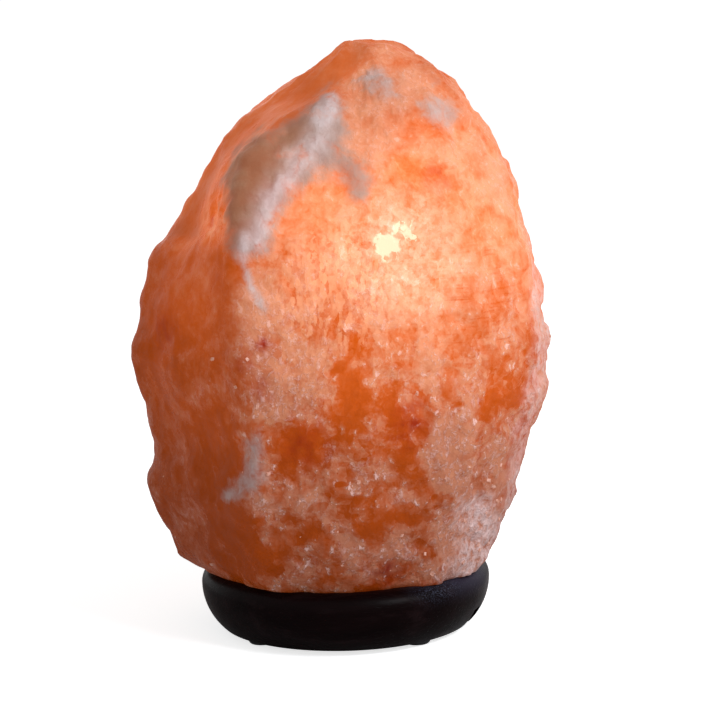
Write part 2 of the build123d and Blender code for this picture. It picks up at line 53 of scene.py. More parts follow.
# ---- Rubber feet ----
# Four self-adhesive pads of black rubber with a finely grained face. The base stands on them, so
# they carry the whole lamp and keep its wood off the table.
class Wire:
    """A socket in a tree of nodes. Arithmetic on it adds Math nodes."""

    def __init__(self, tree, socket=None):
        self.tree = tree
        self.socket = socket

    def node(self, kind, settings=None, inputs=None, output=0):
        """Any other node: its settings first, then its inputs by name or number."""
        made = self.tree.nodes.new(kind)
        for name, value in (settings or {}).items():
            if name == "stops":
                ramp = made.color_ramp.elements
                while len(ramp) < len(value):
                    ramp.new(0.5)
                for stop, (place, colour) in zip(ramp, value):
                    stop.position = place
                    stop.color = (*colour, 1)
            else:
                setattr(made, name, value)
        for name, value in (inputs or {}).items():
            socket = made.inputs[name]
            if isinstance(value, Wire):
                self.tree.links.new(value.socket, socket)
            elif socket.type == "RGBA":
                socket.default_value = (*value, 1)
            else:
                socket.default_value = value
        return Wire(self.tree, made.outputs[output] if made.outputs else None)

    def math(self, operation, *others):
        inputs = dict(enumerate((self, *others)))
        return self.node("ShaderNodeMath", {"operation": operation}, inputs)

    def __add__(self, other):
        return self.math("ADD", other)

    def __sub__(self, other):
        return self.math("SUBTRACT", other)

    def __mul__(self, other):
        return self.math("MULTIPLY", other)

    def __truediv__(self, other):
        return self.math("DIVIDE", other)

    __radd__ = __add__
    __rmul__ = __mul__

    def __rsub__(self, other):
        return self * -1 + other

    def __abs__(self):
        return self.math("ABSOLUTE")

    def largest(self, other):
        return self.math("MAXIMUM", other)

    def smallest(self, other):
        return self.math("MINIMUM", other)

    def between(self, low, high):
        """0 at low, 1 at high, and smooth between them. Low may be the larger."""
        settings = {"interpolation_type": "SMOOTHSTEP"}
        inputs = {"Value": self, "From Min": low, "From Max": high}
        return self.node("ShaderNodeMapRange", settings, inputs)

    def mix(self, colour_a, colour_b):
        """Colour a where this is 0, and colour b where it is 1."""
        inputs = {0: self, 6: colour_a, 7: colour_b}
        return self.node("ShaderNodeMix", {"data_type": "RGBA"}, inputs, output=2)

    def ramp(self, *stops):
        return self.node("ShaderNodeValToRGB", {"stops": stops}, {0: self})

    def vector(self, operation, *values, output=0, scale=None):
        inputs = dict(enumerate((self, *values)))
        if scale is not None:
            inputs["Scale"] = scale
        return self.node("ShaderNodeVectorMath", {"operation": operation}, inputs, output)

    def stretched(self, *scale):
        return self.vector("MULTIPLY", scale)

    def away_from(self, place):
        """How far these coordinates are from a place given in millimetres."""
        return self.vector("DISTANCE", tuple(Vector(place) * MM), output=1)

    def noise(self, size, detail=3.0, roughness=0.5, output=0):
        """Noise on these coordinates, with features of about that size."""
        inputs = {"Vector": self, "Scale": 1 / size, "Detail": detail, "Roughness": roughness}
        return self.node("ShaderNodeTexNoise", None, inputs, output)

    def part(self, axis):
        """One coordinate of a vector: 0 is x, 1 is y and 2 is z."""
        return self.node("ShaderNodeSeparateXYZ", None, {0: self}, output=axis)

    def bump(self, height):
        """A normal from a height in metres."""
        inputs = {"Height": height, "Strength": 1.0, "Distance": 1.0}
        return self.node("ShaderNodeBump", None, inputs)


def new_material(name):
    """An empty material, and a wire that carries Object coordinates in it."""
    material = bpy.data.materials.new(name)
    material.use_nodes = True
    material.node_tree.nodes.clear()
    return material, Wire(material.node_tree).node("ShaderNodeTexCoord", output="Object")


def finish_surface(material, place, **sockets):
    """Gives the material a Principled surface. Underscores in a socket's name are spaces."""
    inputs = {name.replace("_", " "): value for name, value in sockets.items()}
    surface = place.node("ShaderNodeBsdfPrincipled", None, inputs)
    place.node("ShaderNodeOutputMaterial", None, {"Surface": surface})
    return material


def dress(node, material):
    """Gives a CAD piece its material."""
    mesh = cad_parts[node].data
    mesh.materials.clear()
    mesh.materials.append(material)


def black_rubber():
    material, place = new_material("black_rubber")
    grain = place.noise(0.6 * MM, detail=4.0)
    dust = place.noise(7 * MM).between(0.5, 0.75)
    return finish_surface(
        material,
        place,
        Base_Color=(dust * 0.6).mix((0.018, 0.018, 0.019), (0.06, 0.056, 0.052)),
        Roughness=grain * 0.25 + 0.62,
        Normal=place.bump(grain * (0.06 * MM)),
    )


dress("rubber_feet", black_rubber())


# ---- Wooden base ----
# A disc of hardwood turned on a lathe, with a round shoulder, stained nearly black and oiled. The
# grain runs across it from left to right, and the tool has left faint rings.
def dark_wood():
    material, place = new_material("dark_wood")
    along = place.stretched(0.12, 1.0, 1.0)
    figure = along.noise(5 * MM, detail=6.0, roughness=0.6)
    pores = place.stretched(0.08, 1.0, 1.0).noise(0.7 * MM, detail=2.0).between(0.56, 0.72)
    # The tool's rings, one every 2.6 mm: 2400 radians to the metre
    rings = (place.vector("LENGTH", output=1) * 2400.0).math("SINE") * 0.5 + 0.5
    wear = place.noise(16 * MM, detail=5.0, roughness=0.6).between(0.45, 0.75)
    stain = figure.ramp(
        (0.30, (0.0025, 0.0006, 0.0007)),
        (0.55, (0.0045, 0.0014, 0.0016)),
        (0.75, (0.0120, 0.0055, 0.0060)),
    )
    # Fine salt that has fallen on the shoulder at the front right, speckled and painted bluish as a
    # highlight, and a painted sheen beside it
    shoulder = place.part(2).between(13 * MM, 27 * MM)
    salt_dust_and_highlight = place.away_from((35, -40, 29)).between(19 * MM, 2 * MM) * shoulder
    salt_dust_and_highlight = salt_dust_and_highlight * place.noise(0.5 * MM, detail=5.0, roughness=0.8).between(0.48, 0.66)
    painted_sheen = place.away_from((50, -24, 25)).between(24 * MM, 3 * MM) * shoulder
    colour = (pores * 0.5).mix(stain, (0.004, 0.002, 0.002))
    colour = painted_sheen.mix(colour, (0.040, 0.034, 0.056))
    height = figure * (0.10 * MM) - pores * (0.05 * MM) + rings * (0.004 * MM)
    return finish_surface(
        material,
        place,
        # Over it all, the speckled salt with its painted bluish highlight
        Base_Color=salt_dust_and_highlight.mix(colour, (0.13, 0.15, 0.23)),
        Roughness=wear * 0.16 + figure * 0.10 + 0.26,
        Specular_IOR_Level=0.03,
        Normal=place.bump(height),
    )


dress("wooden_base", dark_wood())


# ---- Salt crystal ----
# A block of rock salt, hewn by hand into a rough egg and sawn level at its foot. Its salt is orange
# where it is clear, pale pink where it is frosted or bruised, and grey-white where it is clouded.
# A drilled cavity holds the bulb, whose light through the salt is painted on its face as a glow.
CRYSTAL_MIDDLE = (8.0, 0.0, 105.0)
CAVITY_RADIUS = 27.0
CAVITY_DEPTH = 128.0
# The mesh of its face: points around, rows from foot to top, and rounds of smoothing over the
# facets of the solid before the hewn relief goes on
COLUMNS = 400
ROWS = 176
SMOOTHINGS = 8
# The flat breaks in its face: their size, their slope, how high they may stand, and their seed
BREAKS = [
    (15.0, 0.09, 0.8, 3),
    (7.0, 0.11, 0.45, 4),
    (3.5, 0.13, 0.22, 5),
]
# How far its areas and ridges stand proud of the face, or lie in it where negative
CLOUDED_HEIGHT = 1.0
SMALL_PATCH_HEIGHT = 0.6
BAND_HEIGHT = -0.9
RIM_HEIGHT = -1.2
CREST_HEIGHT = 1.3
SPUR_HEIGHT = 1.2
# Ledges run along the right side, one above the other
LEDGE_HEIGHT = 1.1
LEDGE_SPACING = 7.0
# Seen from the front, as (x, z): the outlines of its clouded, frosted, smooth and chipped areas.
# These, and all other places and sizes of the crystal that are written without MM, are in millimetres
# CLOUDED_SHADE is the left side of the clouded mass, which is painted in shade
CLOUDED_SHADE = [
    (-3, 202), (-10, 197), (-17, 193), (-30, 190), (-36, 184), (-39, 176), (-40, 166),
    (-38, 156), (-35, 150), (-31, 152), (-29, 161), (-23, 171), (-16, 180), (-9, 187), (-6, 194),
]
CLOUDED_CREST = [
    (1, 204), (5, 200), (6, 192), (5, 186), (12, 182), (14, 173), (12, 165), (6, 167), (-1, 176),
    (-6, 176), (-12, 171), (-17, 167), (-22, 160), (-24, 152), (-31, 151), (-30, 161),
    (-24, 171), (-16, 180), (-10, 187), (-7, 195), (-3, 202),
]
CLOUDED_TOP = [(7, 211), (15, 213), (24, 209), (25, 202), (19, 201), (13, 205), (8, 208)]
CLOUDED_RIGHT = [(29, 200), (38, 204), (45, 201), (46, 192), (42, 188), (36, 191), (32, 196)]
CLOUDED_LOW = [
    (-36, 84), (-28, 89), (-25, 80), (-28, 73), (-31, 65), (-37, 60), (-43, 61), (-40, 67),
    (-34, 73),
]
FROSTED_FOOT = [(43, 56), (54, 55), (62, 34), (60, 22), (48, 12), (36, 24), (39, 33), (44, 42)]
FROSTED_EDGE = [
    (64, 178), (71, 158), (73, 140), (72, 120), (70, 98), (65, 82), (62, 64), (57, 46), (62, 40),
    (75, 60), (84, 90), (88, 130), (72, 185),
]
SMOOTH_BAND = [
    (5, 225), (-12, 213), (-29, 204), (-41, 191), (-48, 179), (-60, 160), (-66, 149),
    (-49, 153), (-48, 165), (-38, 181), (-26, 191), (-12, 194), (-1, 204), (12, 214), (16, 222),
]
LEFT_FACET = [(-35, 152), (-33, 110), (-34, 60), (-40, 24), (-95, 24), (-95, 150), (-62, 152)]
CHIPPED_RIM = [(64, 178), (71, 158), (74, 140), (74, 120), (73, 96), (84, 90), (88, 130), (72, 185)]
# Seen from the front too: the lines of its two ridges, which stand out and carry a painted highlight
CREST_LINE = [(1, 203), (-3, 195), (-6, 187), (-12, 180), (-20, 172), (-25, 162), (-27, 154)]
SPUR_LINE = [(-31, 156), (-33, 149), (-31, 142), (-26, 132)]
# Places where the salt is paler, or deeper where negative: x, y, z, reach and how much
PALE_PLACES = [
    # Around the crest
    (11, -5, 220, 9, 0.6),
    (18, -20, 208, 14, 0.8),
    (38, -26, 197, 11, 0.6),
    (4, -34, 194, 17, 0.7),
    (33, -34, 190, 9, -0.4),
    (56, -28, 182, 12, 0.6),
    (27, -42, 179, 6, -1.5),
    (60, -20, 170, 9, 0.6),
    (18, -50, 168, 9, 0.3),
    (65, -28, 166, 10, 0.5),
    (24, -48, 163, 8, -0.3),
    # Level with the bulb
    (33, -50, 153, 8, 0.5),
    (-12, -56, 146, 10, 0.5),
    (0, -58, 139, 10, 0.5),
    (-30, -56, 137, 10, 0.6),
    (-26, -60, 134, 9, 0.5),
    (10, -60, 128, 18, 0.25),
    (48, -48, 128, 20, 0.3),
    # Below it
    (-64, -24, 119, 16, -0.8),
    (-31, -60, 117, 13, 0.75),
    (-9, -62, 117, 11, 0.45),
    (77, -8, 112, 18, 0.6),
    (32, -57, 108, 12, 0.35),
    (-52, -38, 104, 13, 0.4),
    (5, -64, 101, 8, -0.8),
    (42, -54, 100, 10, -0.2),
    (-21, -62, 100, 9, 0.6),
    (-33, -58, 98, 12, 0.5),
    (-12, -63, 96, 4, 0.9),
    (58, -42, 95, 13, -0.5),
    (19, -60, 93, 8, -0.7),
    (38, -54, 85, 9, 0.8),
    (-16, -62, 83, 8, -0.9),
    (26, -58, 82, 8, -0.6),
    (-46, -42, 81, 13, -0.4),
    (38, -54, 80, 8, 1.0),
    # Near the foot
    (16, -60, 70, 6, 0.7),
    (7, -62, 68, 6, 0.6),
    (-15, -60, 66, 13, 0.3),
    (58, -36, 66, 12, 0.5),
    (-15, -60, 60, 7, 0.4),
    (44, -46, 60, 17, 0.6),
    (11, -57, 56, 9, -0.6),
    (-4, -55, 50, 10, 0.2),
    (-38, -45, 44, 16, -0.6),
    (-58, -22, 40, 13, 0.45),
    (-28, -52, 38, 10, -0.35),
    (50, -28, 37, 18, 0.9),
    (-5, -50, 32, 13, 0.2),
    (-12, -46, 26, 8, 0.3),
    # On the back, made up
    (10, 62, 150, 20, 0.5),
    (-50, 30, 130, 22, -0.6),
    (40, 45, 120, 24, -0.6),
    (-30, 55, 70, 22, 0.6),
    (62, 25, 60, 20, 0.7),
]
# Dark red and brown stains: x, y, z, reach and strength
STAINS = [
    # Around the crest
    (38, -42, 176, 5, 0.5),
    (-47, -32, 160, 2, 0.8),
    # Level with the bulb
    (-40, -47, 140, 3, 0.6),
    # Below it
    (-26.8, -61.8, 119, 3, 0.9),
    (-64, -24, 119, 7, 0.3),
    (-33, -62.5, 112, 3, 0.5),
    (-27, -63, 103, 4, 0.6),
    (25, -58, 91, 7, 0.45),
    (23, -59, 84, 5, 0.3),
    (-12, -62, 82, 9, 0.3),
    # Near the foot
    (16, -50, 30, 7, 0.6),
    # On the back, made up
    (-35, 45, 140, 6, 0.5),
    (30, 50, 90, 7, 0.6),
]


def crystal_skin():
    """Points on the CAD crystal's outside, in rows from its foot to its top, in millimetres."""
    solid = bmesh.new()
    solid.from_mesh(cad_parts["salt_crystal"].data)
    bmesh.ops.remove_doubles(solid, verts=solid.verts, dist=0.001 * MM)
    tree = BVHTree.FromBMesh(solid)
    solid.free()
    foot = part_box("salt_crystal")[0].z / MM
    middle = Vector(CRYSTAL_MIDDLE)
    reach = 300.0
    skin = np.zeros((ROWS, COLUMNS, 3))
    for column in range(COLUMNS):
        angle = radians(360 * column / COLUMNS)
        level = Vector((cos(angle), sin(angle), 0))
        # The edge of the sawn foot, met from outside, just above it
        start = Vector((middle.x, middle.y, foot + 0.05)) + level * reach
        edge = tree.ray_cast(start * MM, -level)[0] / MM
        lowest = (edge - middle).angle(Vector((0, 0, -1)))
        for row in range(ROWS):
            turn = lowest + (radians(180) - lowest) * row / ROWS
            towards = level * sin(turn) - Vector((0, 0, cos(turn)))
            skin[row, column] = tree.ray_cast((middle + towards * reach) * MM, -towards)[0] / MM
        skin[0, column] = edge.x, edge.y, foot
    return skin


def smoothed(field, times, level_foot=False):
    """A grid of points or values, each moved to the mean of itself and its neighbours."""
    for _ in range(times):
        above = np.concatenate([field[1:], np.roll(field[-1:], COLUMNS // 2, axis=1)])
        below = np.concatenate([field[:1], field[:-1]])
        moved = (field * 2 + above + below + np.roll(field, 1, 1) + np.roll(field, -1, 1)) / 6
        if level_foot:
            moved[0] = (field[0] * 2 + np.roll(field[0], 1, 0) + np.roll(field[0], -1, 0)) / 4
        field = moved
    return field


def outward(skin):
    """The unit normal at each point of the skin."""
    above = np.concatenate([skin[1:], np.roll(skin[-1:], COLUMNS // 2, axis=1)])
    below = np.concatenate([skin[:1], skin[:-1]])
    normal = np.cross(np.roll(skin, -1, 1) - np.roll(skin, 1, 1), above - below)
    return normal / np.maximum(np.linalg.norm(normal, axis=2, keepdims=True), 1e-9)


def cloud(points, size):
    """Fractal noise from about -1 to 1 at each point, with features of that size and finer."""
    falloff, gap, octaves = 1.0, 2.0, 3
    flat = points.reshape(-1, 3) / size
    values = [noise.fractal(Vector(p), falloff, gap, octaves) for p in flat]
    return np.array(values).reshape(points.shape[:-1])


def breaks(points, size, slope, most, seed):
    """Heights of flat breaks at random tilts, each about that size across."""
    rng = np.random.default_rng(seed)
    low, high = points.reshape(-1, 3).min(0), points.reshape(-1, 3).max(0)
    count = int(np.prod(high - low) / size**3)
    seeds = rng.uniform(low, high, (count, 3))
    tilts = rng.normal(size=(count, 3)) * slope
    tree = KDTree(count)
    for number, seed_point in enumerate(seeds):
        tree.insert(seed_point, number)
    tree.balance()
    flat = points.reshape(-1, 3)
    nearest = np.array([tree.find(p)[1] for p in flat])
    heights = ((flat - seeds[nearest]) * tilts[nearest]).sum(1)
    return np.clip(heights, -most, most).reshape(points.shape[:-1])


def on_front(points):
    """1 on the half that faces forward, fading to 0 past the sides."""
    return np.clip((12 - points[..., 1]) / 20, 0, 1)


def line_distance(points, line, closed=False):
    """How far each point is, seen from the front, from a line of (x, z) corners."""
    x, z = points[..., 0], points[..., 2]
    ends = list(zip(line, line[1:] + line[:1])) if closed else list(zip(line, line[1:]))
    nearest = np.full(x.shape, 1e9)
    for (ax, az), (bx, bz) in ends:
        dx, dz = bx - ax, bz - az
        share = np.clip(((x - ax) * dx + (z - az) * dz) / (dx * dx + dz * dz), 0, 1)
        nearest = np.minimum(nearest, np.hypot(x - ax - share * dx, z - az - share * dz))
    return nearest


def inside(points, outline, soft, wobble=0.0):
    """1 inside an outline on the front and 0 outside it, over an edge of that softness."""
    x, z = points[..., 0], points[..., 2]
    odd = np.zeros(x.shape, bool)
    for (ax, az), (bx, bz) in zip(outline, outline[1:] + outline[:1]):
        if az != bz:
            crosses = (az > z) != (bz > z)
            odd ^= crosses & (x < (bx - ax) * (z - az) / (bz - az) + ax)
    depth = np.where(odd, 1, -1) * line_distance(points, outline, closed=True) + wobble
    share = np.clip(depth / soft * 0.5 + 0.5, 0, 1)
    return share * share * (3 - 2 * share) * on_front(points)


def spread(points, places):
    """The sum at each point of soft spots, each an x, y, z, reach and strength."""
    spots = [(np.array(place[:3]), place[3], place[4]) for place in places]
    gaps = [(np.linalg.norm(points - middle, axis=2) / reach, amount) for middle, reach, amount in spots]
    return sum(amount * np.exp(-(gap**2)) for gap, amount in gaps)


def ridge(points, line, width, wobble):
    """1 along a line on the front, fading to 0 over about that width beside it."""
    away = (line_distance(points, line) + wobble) / width
    return np.exp(-(away**2)) * on_front(points)


def areas_on(skin):
    """How far each area and ridge covers each point, 0 to 1, and how rough the face is there."""
    wobble = cloud(skin, 9.0) * 3.0
    area = {
        "shade": inside(skin, CLOUDED_SHADE, 6.0, wobble),
        "crest": inside(skin, CLOUDED_CREST, 6.0, wobble) * 0.85,
        "band": inside(skin, SMOOTH_BAND, 4.0, wobble * 0.5),
        "left": inside(skin, LEFT_FACET, 8.0, wobble),
        "rim": np.clip(inside(skin, CHIPPED_RIM, 3.0, wobble * 0.5) * 1.8, 0, 1),
        "edge": inside(skin, FROSTED_EDGE, 3.0, wobble * 0.5),
        "foot": inside(skin, FROSTED_FOOT, 4.5, wobble * 1.2),
        "crest_line": ridge(skin, CREST_LINE, 4.0, wobble),
        "spur_line": ridge(skin, SPUR_LINE, 2.4, wobble * 0.4),
    }
    small = (CLOUDED_TOP, CLOUDED_RIGHT, CLOUDED_LOW)
    area["small"] = np.maximum.reduce([inside(skin, one, 4.5, wobble * 1.2) for one in small])
    area["clouded"] = np.clip(area["shade"] + area["crest"], 0, 1)
    worn = 0.35 * area["clouded"] + 0.55 * area["left"] * (1 - area["clouded"])
    area["rough"] = 1 - 0.75 * area["band"] - worn * (1 - area["band"])
    return area


def relief(skin, area):
    """How far the hewn face stands out from the skin at each point."""
    rough, band = area["rough"], area["band"]
    # Broad swells all over, and lumps and breaks where the face is rough
    height = cloud(skin, 20.0) * 0.9 + cloud(skin + 50, 8.0) * 0.7 * rough
    for size, slope, most, seed in BREAKS:
        height += breaks(skin, size, slope, most, seed) * rough
    ledges = np.abs((skin[..., 2] / LEDGE_SPACING + cloud(skin + 90, 22.0)) % 1.0 - 0.5) - 0.25
    on_right = np.clip((skin[..., 0] - 20) / 25, 0, 1)
    height += ledges * LEDGE_HEIGHT * on_front(skin) * on_right
    height += CLOUDED_HEIGHT * area["clouded"] * (1 - band) + BAND_HEIGHT * band
    height += CREST_HEIGHT * area["crest_line"]
    height += SPUR_HEIGHT * area["spur_line"]
    height += SMALL_PATCH_HEIGHT * np.maximum(area["small"], area["foot"]) + RIM_HEIGHT * area["rim"]
    return smoothed(height, 1)


def salt_masks(skin, area):
    """The attributes that the material and the grains of salt read, each about 0 to 1."""
    band, small, spur_line = area["band"], area["small"], area["spur_line"]
    pale = spread(skin, PALE_PLACES)
    ragged = np.clip(1 + 1.2 * cloud(skin + 70, 4.0), 0, 2)
    bruised = np.clip(pale * 1.2 + cloud(skin + 30, 9.0) * 0.8 - 0.05, 0, 1)
    below_bulb = np.clip((125 - skin[..., 2]) / 30, 0, 1)
    return {
        "clouded": np.maximum.reduce([area["clouded"], spur_line * 0.6, small * 0.65]),
        "frosted": np.maximum.reduce([area["rim"], area["edge"] * 0.7, area["foot"] * 1.25]),
        # shaded marks where the clouded mass is painted in shade, and lit where it is painted with
        # highlights
        "shaded": area["shade"] * (1 - area["crest"]),
        "banded": band,
        "left": area["left"],
        "lit": np.maximum.reduce([area["crest_line"] * (1 - band), spur_line, small * 0.5]),
        "pale": pale,
        "stain": np.clip(spread(skin, STAINS) * ragged, 0, 1),
        "grains": bruised * area["rough"] * below_bulb,
    }


def sculpted(skin):
    """The skin with its hewn relief, kept inside the CAD crystal's box, and its masks."""
    area = areas_on(skin)
    push = outward(skin)
    # Near the foot the relief moves points less and less up or down, so that the foot stays level
    push[..., 2] *= np.clip((skin[..., 2] - skin[0, 0, 2]) / 10.0, 0, 1)
    moved = skin + push * relief(skin, area)[..., None]
    low, high = (np.array(corner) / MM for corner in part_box("salt_crystal"))
    return np.clip(moved, low, high), salt_masks(skin, area)


def ring(radius, height):
    """A level ring of points about the axis of the base, one for each column."""
    turns = np.radians(np.arange(COLUMNS) * 360 / COLUMNS)
    level = np.full(COLUMNS, height)
    return np.stack([radius * np.cos(turns), radius * np.sin(turns), level], axis=1)


def crystal_mesh():
    """The closed mesh of the crystal: its outside, its sawn foot and the cavity drilled up it."""
    skin, masks = sculpted(smoothed(crystal_skin(), SMOOTHINGS, level_foot=True))
    foot = skin[0, 0, 2]
    end = foot + CAVITY_DEPTH
    mouth = ring(CAVITY_RADIUS, foot)
    under = [skin[0] + (mouth - skin[0]) * share for share in (0.25, 0.5, 0.75)]
    walls = [ring(CAVITY_RADIUS, foot + CAVITY_DEPTH * share) for share in np.linspace(0, 1, 13)]
    ends = [ring(CAVITY_RADIUS * share, end) for share in (0.66, 0.33)]
    rings = [*skin[::-1], *under, *walls, *ends]
    top = skin[-1].mean(axis=0)
    points = np.concatenate([*rings, [top], [(0, 0, end)]]) * MM
    faces = []
    for row in range(len(rings) - 1):
        for column in range(COLUMNS):
            after = (column + 1) % COLUMNS
            a, b = row * COLUMNS + column, row * COLUMNS + after
            faces.append((a, a + COLUMNS, b + COLUMNS, b))
    last = (len(rings) - 1) * COLUMNS
    for column in range(COLUMNS):
        after = (column + 1) % COLUMNS
        faces.append((column, after, len(points) - 2))
        faces.append((last + after, last + column, len(points) - 1))
    mesh = bpy.data.meshes.new("salt_crystal_hewn")
    mesh.from_pydata(points.tolist(), [], faces)
    mesh.update()
    for name, mask in masks.items():
        values = np.zeros(len(points), np.float32)
        values[: ROWS * COLUMNS] = mask[::-1].ravel()
        mesh.attributes.new(name, "FLOAT", "POINT").data.foreach_set("value", values)
    mesh.shade_smooth()
    return mesh


def stirred(coordinates, size, far):
    """Coordinates pushed about by noise of that size, by up to about half of far."""
    drift = coordinates.noise(size, detail=2.0, output=1).vector("SUBTRACT", (0.5, 0.5, 0.5))
    return coordinates.vector("ADD", drift.stretched(far, far, far))


class SaltPattern:
    """The noises, cleaved blocks and masks that the salt's veils, light, colour and relief share."""

    MASKS = ("clouded", "shaded", "banded", "lit", "left", "pale", "frosted", "stain")

    def __init__(self, place):
        self.place = place
        self.bent = stirred(place, 4 * MM, 5 * MM)
        self.chipped = stirred(place, 2 * MM, 1.6 * MM)
        flow = stirred(place, 16 * MM, 14 * MM)
        self.clouds = flow.noise(34 * MM, detail=2.0, roughness=0.5) - 0.5
        self.patches = flow.noise(11 * MM, detail=6.0, roughness=0.58) - 0.5
        self.blots = self.bent.noise(4 * MM, detail=4.0, roughness=0.58) - 0.5
        drawn_up = place.stretched(1.0, 1.0, 0.6)
        self.strokes = drawn_up.noise(1.7 * MM, detail=4.0, roughness=0.66) - 0.5
        self.mask = {name: self.attribute(name) for name in self.MASKS}
        self.smooth = self.mask["banded"].largest(self.mask["left"] * 0.8)
        self.rough = 1 - self.smooth * 0.85
        self.below = place.part(2).between(155 * MM, 95 * MM)
        self.blocks = self.facets(8.0) * 0.6 + self.facets(4.0, tall=1.3) * 0.7
        self.broken = self.facets(2.4, tall=1.5) * 0.7 + self.facets(1.2) * 0.4
        busy = self.blots * 1.5 + self.patches * 2.0 + self.mask["pale"] * 0.3
        self.busy = busy.between(-0.35, 0.35) * self.rough * (self.below * 0.7 + 0.3)

    def attribute(self, name):
        return self.place.node("ShaderNodeAttribute", {"attribute_name": name}, output="Fac")

    def near(self, x, y, z, reach, core):
        """1 within the core of a place in millimetres, fading to 0 at its reach."""
        return self.bent.away_from((x, y, z)).between(reach * MM, core * MM)

    def facets(self, width, tall=1.0):
        """A random value, about -0.5 to 0.5, in each cleaved block of that width in millimetres."""
        inputs = {"Vector": self.chipped.stretched(1, 1, 1 / tall), "Scale": 1 / (width * MM)}
        settings = {"distance": "CHEBYCHEV"}
        cell = self.place.node("ShaderNodeTexVoronoi", settings, inputs, output="Color")
        return cell.vector("DOT_PRODUCT", (0.6, 0.4, 0.0), output=1) - 0.5


def bruises(pattern):
    """The milky veils, the flakes on them, painted pale enough to stand for glints too, the white rind
    and the grey clouding, each 0 to 1.
    """
    patches, blots, strokes = pattern.patches, pattern.blots, pattern.strokes
    broken, rough, below, mask = pattern.broken, pattern.rough, pattern.below, pattern.mask
    torn = patches * 2.6 + pattern.clouds * 0.8 + blots * 1.0 + mask["pale"] * 0.8
    torn = torn - mask["left"] * 0.6 - mask["banded"] * 0.5
    torn = torn + pattern.blocks * rough * (below * 0.5 + 0.3)
    torn = torn * (1 - pattern.smooth * 0.6) * (below * 0.35 + 0.65)
    veil = (torn + broken * pattern.busy * 0.5 + 0.07).between(-0.36, 0.66)

    # Flakes and splinters gather where a veil begins, and in a lace of fine lines on pale salt. Their
    # pale colour is partly painted glints
    gather = 1 - abs(torn - 0.40) / 0.60
    lace = (1 - abs(blots) * 14).between(0.0, 1.0)
    lace = lace * (patches + mask["pale"] * 0.2).between(0.0, 0.2)
    flakes_and_glints = (strokes + blots + broken * 0.4).between(0.17, 0.26) * gather.between(0.0, 0.75)
    flakes_and_glints = flakes_and_glints.largest(lace * strokes.between(-0.10, 0.10) * 0.9)
    flakes_and_glints = flakes_and_glints * rough * (below * 0.65 + 0.35) * (1 - mask["stain"] * 0.6)

    rind = mask["frosted"] * (blots + strokes + broken * 0.3 + 0.48).between(0.10, 0.80)
    rind = rind.smallest(1.0)
    cloudy = mask["clouded"] * 1.25 + blots * (1 - mask["shaded"] * 0.7) + patches * 0.8 - 0.15
    return veil, flakes_and_glints, rind, cloudy.between(0.0, 1.0)


# Where the bulb's light spreads from, how deep it is still full, and over how much depth it fades
GLOW_MIDDLE = (12, 0, 142)
FULL_DEPTH = 57 * MM
FADE_DEPTH = 23 * MM


def inner_light(pattern, veil, flakes_and_glints, rind, cloudy):
    """The bulb's light as it comes out through the salt, painted on it as a glow in colour, and the fine
    grain in it.
    """
    patches, blots, strokes = pattern.patches, pattern.blots, pattern.strokes
    below, mask, near = pattern.below, pattern.mask, pattern.near
    shattered = pattern.broken * pattern.busy

    # Full over the bulb, and fading with the depth of salt that it comes through. Dimmer on the thick
    # left facet, painted darker there as shade on the side turned from the lamp, and dimmer on the smooth
    # band
    depth = (FULL_DEPTH - pattern.place.away_from(GLOW_MIDDLE)) / FADE_DEPTH
    light = depth.math("EXPONENT") * (1 - mask["left"] * 0.40) * (1 - mask["banded"] * 0.40) + 0.05
    # Painted shade over the crest, and painted light on the top
    painted_crest_shade = near(8, -30, 198, 34, 14) * 0.26
    top = near(12, -5, 216, 26, 6) * 0.18
    light = light * (1 - painted_crest_shade) + top
    uneven = patches * (below * 0.25 + 0.35) + pattern.clouds * 0.5 + pattern.blocks * below * 0.25
    light = light * (uneven + 1.0) * (1 - rind * 0.45)
    light = light.smallest(1.0 + blots * 0.25 + patches * 0.25)

    # Upright splinters show below the bulb, and level cleavage lines to the right of it
    upright = pattern.facets(1.2, tall=3.2).largest(-0.25) * near(0, -58, 137, 30, 10)
    level = pattern.place.stretched(0.10, 0.10, 1.0).noise(1.0 * MM).between(0.54, 0.68)
    level = level * near(52, -46, 130, 32, 12)
    grain = upright * 0.55 - level * 0.08 + shattered * 0.40
    light = light * (grain + (strokes * 0.2 + blots * 0.5) * pattern.rough + 1.0)

    # Deep orange in clear salt, peach through a veil, and nearly white in two spots over the bulb
    tint = strokes * 0.2 + blots * (below * 0.2 + 0.3) + upright * 1.5 - level * 0.28 + shattered * 0.5
    paler = near(24, -55, 134, 38, 12) * 0.12 - near(34, -36, 186, 30, 8) * 0.10
    hue = (light * 0.65 + veil * 0.65 + tint + paler).between(0.08, 1.25)
    halo = near(24, -53, 149, 32, 5) * (blots * 1.5 + pattern.broken * 1.4 + patches + 0.50)
    hot = near(18.5, -54, 152.5, 9.0, 1).largest(near(26.5, -53, 157.5, 7.5, 1) * 0.95)
    hot = (hot + pattern.facets(2.0, tall=1.6) * 0.7 + blots * 0.4).between(0.42, 0.66)
    glow = hue.mix((1.0, 0.145, 0.005), (1.0, 0.365, 0.170))
    glow = mask["stain"].mix(glow, (1.0, 0.060, 0.006))
    glow = halo.mix(glow, (1.0, 0.62, 0.40))
    glow = hot.mix(glow, (1.0, 0.92, 0.62))
    light = light.largest(hot) * (1 - veil * 0.15) * (1 - cloudy * 0.68)
    light = light * (1 - flakes_and_glints * 0.2) * (1 - mask["stain"] * 0.4)
    return glow.vector("SCALE", scale=light), grain


